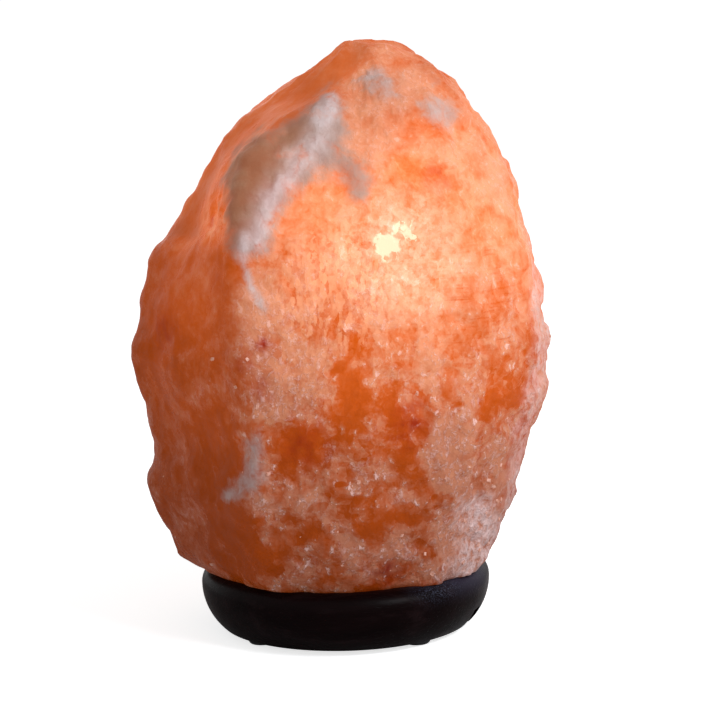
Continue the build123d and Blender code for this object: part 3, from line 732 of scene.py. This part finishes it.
def salt_colour(pattern, veil, flakes_and_glints, rind, cloudy):
    """The colour of the salt's face, with painted shade on the left of its clouded mass and painted
    highlights on its crest, spur and small clouded patches.
    """
    mask = pattern.mask
    colour = veil.mix((0.22, 0.033, 0.003), (0.38, 0.158, 0.102))
    colour = (mask["banded"] * 0.9).mix(colour, (0.20, 0.052, 0.016))
    colour = mask["stain"].mix(colour, (0.10, 0.006, 0.004))
    # Pale flakes of salt, painted bright enough to stand for glints as well
    colour = (flakes_and_glints * 0.85).mix(colour, (0.76, 0.53, 0.52))
    colour = rind.mix(colour, (0.76, 0.57, 0.56))
    # Painted shade, brown, on the side of the clouded mass turned from the lamp
    grey = mask["shaded"].mix((0.36, 0.28, 0.255), (0.20, 0.115, 0.072))
    # Painted bluish-white highlights along the crest and the spur and on the small clouded patches
    grey = (mask["lit"] * (pattern.blots * 2.0 + 1.0)).mix(grey, (0.56, 0.52, 0.53))
    return cloudy.mix(colour, grey)


def rock_salt():
    """Clear, veiled, bruised and clouded salt, with the light of the bulb behind it painted on as a glow.
    """
    material, place = new_material("rock_salt")
    pattern = SaltPattern(place)
    veil, flakes_and_glints, rind, cloudy = bruises(pattern)
    glow, grain = inner_light(pattern, veil, flakes_and_glints, rind, cloudy)
    height = pattern.patches * (1.2 * MM) + pattern.blots * (0.9 * MM) + pattern.strokes * (0.5 * MM)
    height = height + pattern.broken * pattern.busy * (0.9 * MM) + flakes_and_glints * (0.5 * MM)
    height = (height + grain * (0.3 * MM)) * (1 - pattern.smooth * 0.8) * (1 - cloudy * 0.6)
    return finish_surface(
        material,
        place,
        Base_Color=salt_colour(pattern, veil, flakes_and_glints, rind, cloudy),
        Roughness=veil * 0.15 + cloudy * 0.15 + 0.26,
        IOR=1.15,
        # The bulb's light through the salt, painted on as a glow
        Emission_Color=glow,
        Emission_Strength=1.0,
        Normal=place.bump(height),
    )


def new_piece(name, mesh, body):
    """A new object for a finished mesh, riding on its body."""
    piece = bpy.data.objects.new(name, mesh)
    bpy.context.scene.collection.objects.link(piece)
    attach(piece, body)
    return piece


crystal = new_piece("hewn_crystal", crystal_mesh(), "lamp")
crystal.data.materials.append(rock_salt())
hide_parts("salt_crystal")


# ---- Salt grains ----
# Crumbs and cleavage corners that cling to the hewn face. Rock salt always splits along a cube, so
# each is a small block that sits half sunk in the crystal, mostly where it is bruised and pale.
def grain_tree(material):
    """A tree that scatters small, uneven blocks over a mesh and returns them alone."""
    tree = bpy.data.node_groups.new("salt_grains", "GeometryNodeTree")
    tree.interface.new_socket("Geometry", in_out="INPUT", socket_type="NodeSocketGeometry")
    sizes = {"Density": 15000.0, "Smallest": 0.5 * MM, "Largest": 1.6 * MM, "Unevenness": 0.45 * MM}
    for name, value in sizes.items():
        socket = tree.interface.new_socket(name, in_out="INPUT", socket_type="NodeSocketFloat")
        socket.default_value = value
    tree.interface.new_socket("Geometry", in_out="OUTPUT", socket_type="NodeSocketGeometry")
    start = Wire(tree).node("NodeGroupInput")
    inputs = {name: Wire(tree, start.socket.node.outputs[name]) for name in sizes}
    skin = Wire(tree, start.socket.node.outputs["Geometry"])
    bruised = start.node("GeometryNodeInputNamedAttribute", {"data_type": "FLOAT"}, {"Name": "grains"})
    scatter = {"Mesh": skin, "Density": inputs["Density"] * bruised, "Seed": 7}
    spots = start.node("GeometryNodeDistributePointsOnFaces", None, scatter)
    rotation = Wire(tree, spots.socket.node.outputs["Rotation"])
    turn = {0: (0, 0, 0), 1: (0.5, 0.5, 3.1), "Seed": 3}
    turn = start.node("FunctionNodeRandomValue", {"data_type": "FLOAT_VECTOR"}, turn)
    turned = start.node("FunctionNodeRotateRotation", {"rotation_space": "LOCAL"}, {0: rotation, 1: turn})
    spread = {2: inputs["Smallest"], 3: inputs["Largest"], "Seed": 5}
    size = start.node("FunctionNodeRandomValue", {"data_type": "FLOAT"}, spread, output=1)
    shape = {"Size": (1.0, 0.8, 0.45), "Vertices X": 3, "Vertices Y": 3, "Vertices Z": 2}
    block = start.node("GeometryNodeMeshCube", None, shape)
    placed = {"Points": spots, "Instance": block, "Rotation": turned, "Scale": size}
    blocks = start.node("GeometryNodeInstanceOnPoints", None, placed)
    blocks = start.node("GeometryNodeRealizeInstances", None, {"Geometry": blocks})
    wobble = start.node("ShaderNodeTexNoise", None, {"Scale": 1 / (0.7 * MM), "Detail": 1.0}, output=1)
    wobble = wobble.vector("SUBTRACT", (0.5, 0.5, 0.5)).vector("SCALE", scale=inputs["Unevenness"])
    blocks = start.node("GeometryNodeSetPosition", None, {"Geometry": blocks, "Offset": wobble})
    blocks = start.node("GeometryNodeSetMaterial", None, {"Geometry": blocks, "Material": material})
    start.node("NodeGroupOutput", None, {"Geometry": blocks})
    return tree


def made_by(tree, name, body, slot, mesh=None, **sizes):
    """Runs a tree of Geometry Nodes on a mesh and makes a piece of the plain mesh that it gives."""
    worker = bpy.data.objects.new(name + "_worker", mesh or bpy.data.meshes.new(name + "_worker"))
    bpy.context.scene.collection.objects.link(worker)
    modifier = worker.modifiers.new("nodes", "NODES")
    modifier.node_group = tree
    for socket in tree.interface.items_tree:
        if socket.in_out == "INPUT" and socket.name in sizes:
            modifier[socket.identifier] = sizes[socket.name]
    ready = worker.evaluated_get(bpy.context.evaluated_depsgraph_get())
    result = bpy.data.meshes.new_from_object(ready)
    result.name = name
    worker.modifiers.remove(modifier)
    bpy.data.objects.remove(worker)
    return new_piece(name, result, body)


# Where the crumbs' painted glow is strongest, and how far from there the last of it reaches them
CRUMB_GLOW_MIDDLE = (12, 0, 140)
CRUMB_GLOW_REACH = 150 * MM


def crumbled_salt():
    """Bruised salt: white where it is powdered, and pink where a painted glow stands for the light
    showing through.
    """
    material, place = new_material("crumbled_salt")
    powder = place.noise(1.1 * MM, detail=4.0, roughness=0.65)
    # How strong the painted glow is, from near its middle out to its reach
    painted_glow_share = (1 - place.away_from(CRUMB_GLOW_MIDDLE) / CRUMB_GLOW_REACH).largest(0.0)
    warm = powder.between(0.35, 0.7).mix((0.44, 0.20, 0.14), (0.66, 0.42, 0.36))
    glow = painted_glow_share.mix((0.02, 0.004, 0.001), (0.75, 0.26, 0.13))
    return finish_surface(
        material,
        place,
        Base_Color=warm,
        Roughness=powder * 0.3 + 0.25,
        Specular_IOR_Level=0.5,
        Emission_Color=(powder * 0.5 + 0.3).mix((0, 0, 0), glow),
        Emission_Strength=1.0,
        Normal=place.bump(powder * (0.10 * MM)),
    )


made_by(grain_tree(crumbled_salt()), "salt_grains", "lamp", "rock_salt", mesh=crystal.data)


# ---- Wall plugs ----
# Three grey nylon plugs, moulded with a split and ribs, pressed into holes drilled in the crystal's
# foot. The screws spread them against the salt.
def grey_nylon():
    material, place = new_material("grey_nylon")
    flow = place.stretched(1.0, 1.0, 0.25).noise(2.5 * MM, detail=3.0)
    grain = place.noise(0.25 * MM, detail=2.0)
    return finish_surface(
        material,
        place,
        Base_Color=flow.between(0.3, 0.7).mix((0.28, 0.28, 0.27), (0.42, 0.42, 0.40)),
        Roughness=flow * 0.2 + 0.40,
        Normal=place.bump(grain * (0.02 * MM) + flow * (0.05 * MM)),
    )


dress("wall_plugs", grey_nylon())


# ---- Crystal fixing screws ----
# Three slotted wood screws of zinc-plated steel. They pass up through sinks in the base into the
# plugs, so that base and crystal lift as one.
def plated_metal(name, bright, dull, patch, streaks, gloss, specks=0.5 * MM):
    """A metal whose colour drifts from bright to dull in patches, streaked along its longest side."""
    material, place = new_material(name)
    patches = place.noise(patch, detail=4.0, roughness=0.6)
    lines = place.stretched(*streaks).noise(specks, detail=3.0, roughness=0.7)
    stains = (patches + lines * 0.3).between(0.52, 0.82)
    return finish_surface(
        material,
        place,
        Base_Color=stains.mix(bright, dull),
        Metallic=1.0,
        Roughness=stains * 0.22 + lines * 0.25 + gloss,
        Normal=place.bump(lines * (0.015 * MM) + patches * (0.02 * MM)),
    )


zinc_steel = plated_metal(
    "zinc_steel",
    bright=(0.66, 0.69, 0.72),
    dull=(0.50, 0.47, 0.38),
    patch=2.4 * MM,
    streaks=(1.0, 1.0, 4.0),
    gloss=0.10,
)
dress("crystal_fixing_screws", zinc_steel)


# ---- Holder plate ----
# A round plate pressed from galvanised sheet steel, whose crystals of zinc catch the light in
# patches. It stops against the roof of the recess when the holder is pushed in.
def plate_steel():
    material, place = new_material("plate_steel")
    spangle = place.node("ShaderNodeTexVoronoi", None, {"Vector": place, "Scale": 1 / (3.5 * MM)}, 1)
    tone = spangle.vector("DOT_PRODUCT", (0.33, 0.33, 0.34), output=1)
    dirt = place.noise(5 * MM, detail=5.0, roughness=0.65).between(0.5, 0.75)
    rolled = place.stretched(0.1, 1.0, 1.0).noise(0.4 * MM, detail=3.0)
    zinc = tone.mix((0.42, 0.43, 0.44), (0.68, 0.69, 0.70))
    return finish_surface(
        material,
        place,
        Base_Color=(dirt * 0.6).mix(zinc, (0.25, 0.23, 0.21)),
        Metallic=1.0,
        Roughness=tone * 0.25 + dirt * 0.2 + 0.22,
        Normal=place.bump(rolled * (0.01 * MM) + tone * (0.01 * MM)),
    )


dress("holder_plate", plate_steel())


# ---- Spring clips ----
# Three bowed strips of blued spring steel, rolled along their length. They grip the bore of the base
# and let the whole holder be pulled out by hand.
spring_steel = plated_metal(
    "spring_steel",
    bright=(0.38, 0.41, 0.48),
    dull=(0.24, 0.22, 0.22),
    patch=4.0 * MM,
    streaks=(1.0, 1.0, 0.08),
    gloss=0.12,
    specks=0.3 * MM,
)
dress("spring_clips", spring_steel)


# ---- Clip rivets ----
# Three short brass rivets, one at the foot of each clip. They pass through clip and plate, and their
# low heads are closed over under the plate.
brass = plated_metal(
    "brass",
    bright=(0.80, 0.56, 0.24),
    dull=(0.44, 0.26, 0.11),
    patch=3.0 * MM,
    streaks=(1.0, 1.0, 2.5),
    gloss=0.14,
)
dress("clip_rivets", brass)


# ---- Holder cap ----
# The cover under the plate that closes in the wires, moulded in black phenolic resin, with the
# cord's hole in its side. The resin is glossy, with faint brown flow marks.
def black_resin():
    material, place = new_material("black_resin")
    drift = place.noise(9 * MM, detail=2.0, output=1)
    flow = drift.vector("ADD", place.stretched(40, 40, 40)).noise(0.35, detail=4.0, roughness=0.6)
    dust = place.noise(3 * MM, detail=5.0, roughness=0.7).between(0.52, 0.78)
    orange_peel = place.noise(0.8 * MM, detail=1.0)
    return finish_surface(
        material,
        place,
        Base_Color=flow.between(0.45, 0.7).mix((0.008, 0.007, 0.007), (0.030, 0.017, 0.012)),
        Roughness=dust * 0.25 + flow * 0.10 + 0.18,
        Normal=place.bump(orange_peel * (0.012 * MM)),
    )


resin = black_resin()
dress("holder_cap", resin)


# ---- Cap screws ----
# Two zinc-plated screws that pass through the cap and the plate into the bosses of the shell, and
# so clamp the three together.
dress("cap_screws", zinc_steel)


# ---- Holder shell ----
# The outer sleeve of the lamp holder, moulded in the same black resin as the cap. It surrounds the
# contact insert and keeps fingers off the live parts.
dress("holder_shell", resin)


# ---- Contact insert ----
# The insulating core, pressed and fired in white steatite. It is matt and faintly pitted, a little
# browned by the heat of the bulb towards its top.
def white_ceramic():
    material, place = new_material("white_ceramic")
    low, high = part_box("contact_insert")
    browned_from = low.z + (high.z - low.z) * 0.6
    scorch = place.part(2).between(browned_from, high.z) * place.noise(4 * MM, detail=3.0)
    pits = place.noise(0.5 * MM, detail=3.0, roughness=0.7)
    white = pits.mix((0.70, 0.67, 0.61), (0.82, 0.80, 0.75))
    return finish_surface(
        material,
        place,
        Base_Color=scorch.mix(white, (0.50, 0.38, 0.25)),
        Roughness=pits * 0.25 + 0.45,
        Normal=place.bump(pits * (0.05 * MM)),
    )


dress("contact_insert", white_ceramic())


# ---- Threaded liner ----
# The screw shell, rolled from thin brass with the coarse round thread that takes the bulb's cap. It
# stands in the insert on a flange, which the side contact feeds.
dress("threaded_liner", brass)


# ---- Side contact ----
# A strip of sheet brass under the insert, clamped by one terminal screw. Its rivet goes up through
# the insert's floor to the flange of the liner.
dress("side_contact", brass)


# ---- Centre contact ----
# A like strip from the other terminal screw. Its rivet holds a sprung leaf, which stands up in the
# middle of the liner, under the button of the bulb.
dress("centre_contact", brass)


# ---- Terminal screws ----
# Two zinc-plated steel screws under the insert. Each clamps the bare end of a wire against one of
# the contact strips.
dress("terminal_screws", zinc_steel)


# ---- Bulb contact tip ----
# The button at the foot of the bulb: a drop of tin solder over the end of one lead wire, dull and
# lumpy, with rings worn by the contact's leaf.
def solder():
    material, place = new_material("solder")
    lumps = place.noise(1.2 * MM, detail=3.0, roughness=0.6)
    dull = place.noise(0.5 * MM, detail=4.0, roughness=0.7).between(0.4, 0.65)
    return finish_surface(
        material,
        place,
        Base_Color=dull.mix((0.58, 0.58, 0.59), (0.30, 0.29, 0.28)),
        Metallic=1.0,
        Roughness=dull * 0.3 + 0.25,
        Normal=place.bump(lumps * (0.15 * MM)),
    )


dress("bulb_contact_tip", solder())


# ---- Bulb insulator ----
# A cone of black glass, pressed hot into the foot of the cap. It keeps the button, which is live,
# apart from the cap's metal.
def black_glass():
    material, place = new_material("black_glass")
    swirl = place.noise(1.8 * MM, detail=4.0, roughness=0.6)
    return finish_surface(
        material,
        place,
        Base_Color=swirl.between(0.4, 0.7).mix((0.006, 0.006, 0.010), (0.030, 0.026, 0.034)),
        Roughness=swirl * 0.15 + 0.05,
        Coat_Weight=0.3,
        Normal=place.bump(swirl * (0.08 * MM)),
    )


dress("bulb_insulator", black_glass())


# ---- Bulb cap ----
# The screw cap of the bulb: thin nickel-plated brass with a rolled thread, cemented to the neck of
# the glass. The plating is bright, finely lined around, and rubbed dull on the thread's crests.
nickel_cap = plated_metal(
    "nickel_cap",
    bright=(0.70, 0.67, 0.62),
    dull=(0.50, 0.43, 0.33),
    patch=5.0 * MM,
    streaks=(0.15, 0.15, 6.0),
    gloss=0.08,
)
dress("bulb_cap", nickel_cap)


# ---- Bulb glass and stem ----
# The candle-shaped envelope, blown in thin clear glass, and the pressed glass stem inside its neck
# that carries the wires. Both are a little uneven, with a trace of dust outside.
def clear_glass():
    material, place = new_material("clear_glass")
    uneven = place.noise(14 * MM, detail=2.0)
    dust = place.noise(2.5 * MM, detail=6.0, roughness=0.75).between(0.58, 0.8)
    return finish_surface(
        material,
        place,
        Base_Color=dust.mix((0.99, 0.98, 0.95), (0.90, 0.88, 0.84)),
        Roughness=dust * 0.12,
        IOR=1.47,
        Transmission_Weight=1.0,
        Normal=place.bump(uneven * (0.25 * MM)),
    )


glass = clear_glass()
dress("bulb_glass", glass)
dress("bulb_stem", glass)


# ---- Bulb lead wires ----
# Two drawn nickel wires that run up through the stem and spread to hold the ends of the filament.
nickel_wire = plated_metal(
    "nickel_wire",
    bright=(0.62, 0.59, 0.55),
    dull=(0.36, 0.32, 0.30),
    patch=2.0 * MM,
    streaks=(1.0, 1.0, 0.15),
    gloss=0.18,
    specks=0.2 * MM,
)
dress("bulb_lead_wires", nickel_wire)


# ---- Filament ----
# A fine tungsten wire wound in close turns, hung in a low arch between the lead wires. It glows
# yellow-white along its middle and cooler towards its clamped ends.
def coil_tree(material):
    """A tree that winds a wire around an arch in the XZ plane."""
    tree = bpy.data.node_groups.new("filament_coil", "GeometryNodeTree")
    for name in ("Half Span", "Foot", "Rise", "Coil Radius", "Wire Radius", "Turns"):
        tree.interface.new_socket(name, in_out="INPUT", socket_type="NodeSocketFloat")
    tree.interface.new_socket("Geometry", in_out="OUTPUT", socket_type="NodeSocketGeometry")
    outputs = Wire(tree).node("NodeGroupInput").socket.node.outputs
    half_span, foot, rise, radius, wire, turns = (Wire(tree, outputs[i]) for i in range(6))
    helix = {"Resolution": 14, "Rotations": turns, "Start Radius": radius, "End Radius": radius}
    helix |= {"Height": 1.0}
    coil = half_span.node("GeometryNodeCurveSpiral", None, helix)
    here = half_span.node("GeometryNodeInputPosition")
    x, y, share = (here.part(axis) for axis in range(3))
    along = share * 2 - 1
    lean = (along * rise * 2 / half_span).math("ARCTANGENT")
    middle_x = along * half_span + x * lean.math("SINE")
    middle_z = foot + rise * (1 - along * along) + x * lean.math("COSINE")
    bent = half_span.node("ShaderNodeCombineXYZ", None, {0: middle_x, 1: y, 2: middle_z})
    coil = half_span.node("GeometryNodeSetPosition", None, {"Geometry": coil, "Position": bent})
    round_wire = {"Resolution": 6, "Radius": wire}
    section = half_span.node("GeometryNodeCurvePrimitiveCircle", None, round_wire)
    swept = {"Curve": coil, "Profile Curve": section, "Fill Caps": True}
    coil = half_span.node("GeometryNodeCurveToMesh", None, swept)
    coil = half_span.node("GeometryNodeRealizeInstances", None, {"Geometry": coil})
    coil = half_span.node("GeometryNodeSetMaterial", None, {"Geometry": coil, "Material": material})
    half_span.node("NodeGroupOutput", None, {"Geometry": coil})
    return tree


def tungsten():
    material, place = new_material("tungsten")
    across = abs(place.part(0))
    drawn = place.noise(0.15 * MM, detail=2.0)
    glow = across.between(8.6 * MM, 4.0 * MM).mix((1.0, 0.20, 0.03), (1.0, 0.66, 0.30))
    return finish_surface(
        material,
        place,
        Base_Color=drawn.mix((0.20, 0.19, 0.18), (0.34, 0.32, 0.30)),
        Metallic=1.0,
        Roughness=drawn * 0.2 + 0.35,
        Emission_Color=glow,
        Emission_Strength=7.0,
    )


# The CAD filament is a plain bar as thick as the coil, and the coil fills its box
WIRE_RADIUS = 0.07 * MM
TURNS = 60.0
low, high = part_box("bulb_filament")
coil_sizes = {
    "Half Span": high.x - high.y,
    "Foot": low.z + high.y,
    "Rise": high.z - low.z - 2 * high.y,
    "Coil Radius": high.y - WIRE_RADIUS,
    "Wire Radius": WIRE_RADIUS,
    "Turns": TURNS,
}
filament = made_by(coil_tree(tungsten()), "coiled_filament", "bulb", "tungsten", **coil_sizes)
filament.data.shade_smooth()
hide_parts("bulb_filament")


# ---- Floor, lights and camera ----
# A pale floor and a soft studio light from the upper right, in a white room. The camera looks from
# a little above the lamp, as in the photograph, and is rolled by a degree and a half. Sizes and
# places here are in metres.
FLOOR_REACH = 30.0
# How bright the floor and the room are to the camera, where 1 is white, beside the light they give
FLOOR_WHITE = 0.74
ROOM_WHITE = 0.65
ROOM_LIGHT = 0.35


def pale_floor():
    """Plain white with the lamp's shadow on it, and clear when it is seen from below."""
    material, place = new_material("pale_floor")
    seen = place.node("ShaderNodeLightPath", output="Is Camera Ray")
    face = {"Base Color": (0.86, 0.86, 0.86), "Roughness": 0.9, "Specular IOR Level": 0.0}
    face |= {"Emission Color": (1, 1, 1), "Emission Strength": seen * FLOOR_WHITE}
    top = place.node("ShaderNodeBsdfPrincipled", None, face)
    under = place.node("ShaderNodeBsdfTransparent")
    back = place.node("ShaderNodeNewGeometry", output="Backfacing")
    shown = place.node("ShaderNodeMixShader", None, {0: back, 1: top, 2: under})
    place.node("ShaderNodeOutputMaterial", None, {"Surface": shown})
    return material


corners = [(-1, -1), (1, -1), (1, 1), (-1, 1)]
mesh = bpy.data.meshes.new("floor")
mesh.from_pydata([(x * FLOOR_REACH, y * FLOOR_REACH, 0) for x, y in corners], [], [(0, 1, 2, 3)])
mesh.materials.append(pale_floor())
floor = bpy.data.objects.new("floor", mesh)
bpy.context.scene.collection.objects.link(floor)


def white_room():
    """A world that is white to the camera, in gloss and through glass, and lights more dimly."""
    world = bpy.data.worlds.new("studio")
    world.use_nodes = True
    world.node_tree.nodes.clear()
    start = Wire(world.node_tree)
    seen = start.node("ShaderNodeLightPath", output="Is Camera Ray")
    seen = seen.largest(start.node("ShaderNodeLightPath", output="Is Glossy Ray"))
    seen = seen.largest(start.node("ShaderNodeLightPath", output="Is Transmission Ray"))
    strength = seen * ROOM_WHITE + ROOM_LIGHT
    sky = start.node("ShaderNodeBackground", None, {"Color": (1, 1, 1), "Strength": strength})
    start.node("ShaderNodeOutputWorld", None, {"Surface": sky})
    return world


bpy.context.scene.world = white_room()


def soft_lamp(name, place, size, power, colour):
    """A square area lamp that faces the middle of the crystal, with its power in watts."""
    data = bpy.data.lights.new(name, "AREA")
    data.size = size
    data.energy = power
    data.color = colour
    lamp = bpy.data.objects.new(name, data)
    lamp.location = place
    aim = Vector((0, 0, 0.11)) - lamp.location
    lamp.rotation_euler = aim.to_track_quat("-Z", "Y").to_euler()
    bpy.context.scene.collection.objects.link(lamp)


soft_lamp("key", place=(0.95, -0.75, 1.15), size=0.7, power=16, colour=(0.93, 0.96, 1.0))

# The camera stands one metre from the middle of the picture, at the pitch at which the turned base
# shows as it does in the photograph. Its lens and its sensor are given in millimetres
CAMERA_AWAY = 1.0
LENS = 132.275
SENSOR_WIDTH = 36
PITCH_DOWN = radians(10.05)
ROLL = radians(1.53)
AIM = Vector((7.716, 0, 101.744)) * MM
forward = Vector((0, cos(PITCH_DOWN), -sin(PITCH_DOWN)))
level_up = Vector((0, sin(PITCH_DOWN), cos(PITCH_DOWN)))
level_right = Vector((1, 0, 0))
right = level_right * cos(ROLL) - level_up * sin(ROLL)
up = level_right * sin(ROLL) + level_up * cos(ROLL)
spot = AIM - forward * CAMERA_AWAY
axes = [(right[i], up[i], -forward[i], spot[i]) for i in range(3)]
data = bpy.data.cameras.new("camera")
data.lens = LENS
data.sensor_width = SENSOR_WIDTH
camera = bpy.data.objects.new("camera", data)
camera.matrix_world = Matrix([*axes, (0, 0, 0, 1)])
bpy.context.scene.collection.objects.link(camera)
bpy.context.scene.camera = camera
bpy.context.scene.view_settings.view_transform = "Standard"
